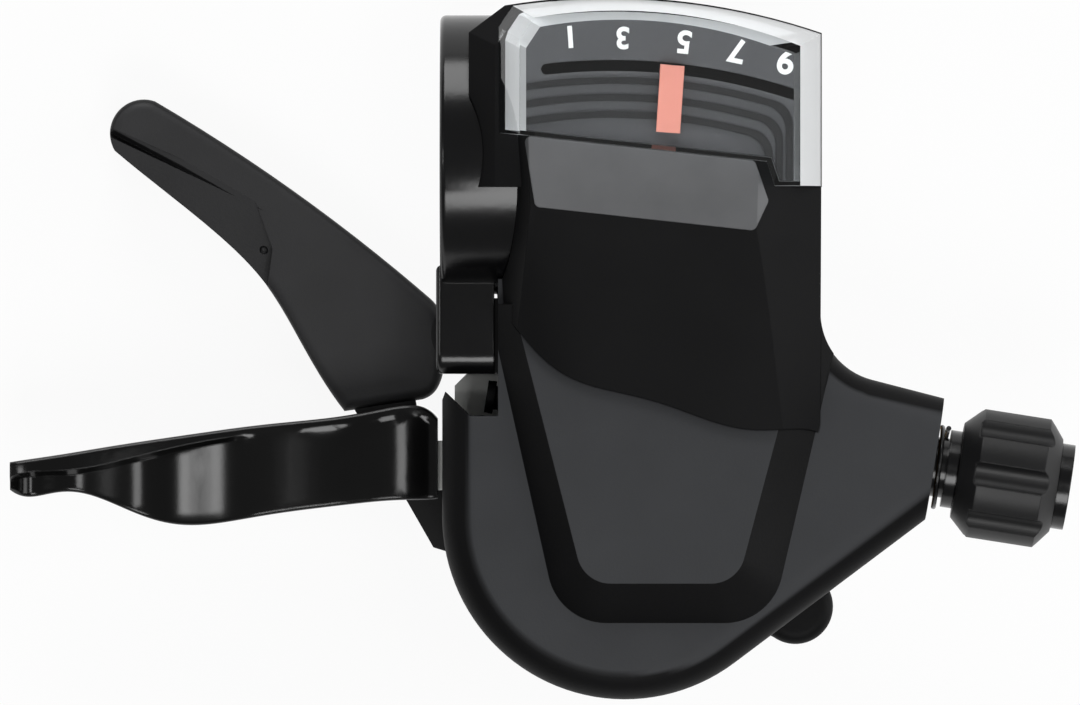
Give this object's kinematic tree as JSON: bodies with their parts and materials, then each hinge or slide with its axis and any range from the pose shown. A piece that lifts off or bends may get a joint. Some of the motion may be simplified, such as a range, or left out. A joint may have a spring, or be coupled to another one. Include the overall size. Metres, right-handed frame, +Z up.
{
  "type": "trigger gear shifter",
  "caption": "Right-hand bicycle trigger shifter with a bar clamp, thumb and finger levers, a ratchet cable drum, a gear dial and a barrel adjuster.",
  "frame": {"origin": "centre of the handlebar clamp's bore", "axes": "+X along the handlebar towards the cable exit, +Y towards the rider, +Z up through the gear dial"},
  "size_m": [0.1071, 0.0701, 0.0407],
  "materials": {
    "cover_plastic": "fine-grained dark grey moulding",
    "black_plastic": "black moulding",
    "lever_plastic": "fine-grained black moulding",
    "lens_plastic": "clear moulding",
    "dial_print": "black dial",
    "needle_orange": "salmon orange",
    "plate_grey": "dark grey foil",
    "black_alloy": "black coat on a cast alloy",
    "zinc_steel": "zinc-plated steel",
    "spring_steel": "drawn wire",
    "brass_insert": "turned brass"
  },
  "bodies": {
    "body": {"clamp_bracket": "black_alloy", "clamp_bolt": "zinc_steel", "base_plate": "zinc_steel", "bracket_screws": "zinc_steel", "top_cover": "cover_plastic", "cover_screws": "zinc_steel", "indicator_housing": "black_plastic", "indicator_lens": "lens_plastic", "dial_plate": "dial_print", "name_plate": "plate_grey", "indicator_pivot": "zinc_steel", "lower_cover": "black_plastic", "lower_cover_screws": "zinc_steel", "main_axle": "zinc_steel", "axle_clip": "spring_steel", "thrust_washer": "zinc_steel", "axle_spacer": "zinc_steel", "lever_washer": "zinc_steel", "axle_nut": "zinc_steel", "drum_spring": "spring_steel", "holding_pawl_spring": "spring_steel", "release_pivot_pin": "zinc_steel", "main_lever_spring": "spring_steel", "release_lever_spring": "spring_steel", "adjuster_bush": "brass_insert", "adjuster_spring": "spring_steel", "cable_plug": "black_plastic"},
    "drum": {"winding_drum": "black_plastic", "ratchet_ring": "zinc_steel"},
    "needle": {"indicator_needle": "needle_orange"},
    "main_lever": {"main_lever_plate": "zinc_steel", "main_lever_cap": "lever_plastic", "winding_pawl_pin": "zinc_steel", "winding_pawl_spring": "spring_steel"},
    "winding_pawl": {"winding_pawl": "zinc_steel"},
    "release_lever": {"release_lever_plate": "zinc_steel", "release_lever_cap": "lever_plastic"},
    "holding_pawl": {"holding_pawl": "zinc_steel"},
    "adjuster_slider": {"adjuster_washer": "zinc_steel"},
    "adjuster": {"adjuster_knob": "black_plastic", "adjuster_bolt": "black_alloy"}
  },
  "joints": [
    {"name": "main_lever_swing", "type": "hinge", "parent": "body", "child": "main_lever", "pos_m": [0.014, -0.0363, -0.01425], "axis": [0, 0, 1], "range_deg": [0, 42], "stiffness_Nm_per_rad": 0.3, "springref_deg": -20.05},
    {"name": "winding_pawl_lift", "type": "hinge", "parent": "main_lever", "child": "winding_pawl", "pos_m": [0.01858, -0.04889, -0.00265], "axis": [0, 0, -1], "range_deg": [0, 8], "stiffness_Nm_per_rad": 0.02, "springref_deg": -17.19},
    {"name": "release_lever_pull", "type": "hinge", "parent": "body", "child": "release_lever", "pos_m": [0.00037, -0.03134, -0.0083], "axis": [0, 0, -1], "range_deg": [0, 10], "stiffness_Nm_per_rad": 0.5, "springref_deg": -8.59},
    {"name": "holding_pawl_lift", "type": "hinge", "parent": "body", "child": "holding_pawl", "pos_m": [0.00037, -0.03134, -0.00265], "axis": [0, 0, -1], "range_deg": [0, 10]},
    {"name": "drum_turn", "type": "hinge", "parent": "body", "child": "drum", "pos_m": [0.014, -0.0363, 0], "axis": [0, 0, 1], "range_deg": [-57.6, 57.6]},
    {"name": "indicator_swing", "type": "hinge", "parent": "body", "child": "needle", "pos_m": [0.01266, -0.04923, 0.0044], "axis": [0, 0, 1], "range_deg": [-10.36, 10.36]},
    {"name": "adjuster_travel", "type": "slide", "parent": "body", "child": "adjuster_slider", "axis": [0.988, -0.1547, 0], "range_m": [0, 0.002]},
    {"name": "adjuster_turn", "type": "hinge", "parent": "adjuster_slider", "child": "adjuster", "pos_m": [0.05182, -0.03234, 0.0017], "axis": [0.988, -0.1547, 0], "range_deg": [0, 720]}
  ],
  "couplings": [
    {"joint": "holding_pawl_lift", "follows": "release_lever_pull", "ratio": 1},
    {"joint": "indicator_swing", "follows": "drum_turn", "ratio": 0.1797},
    {"joint": "adjuster_turn", "follows": "adjuster_travel", "rad_per_m": 6283.2}
  ]
}
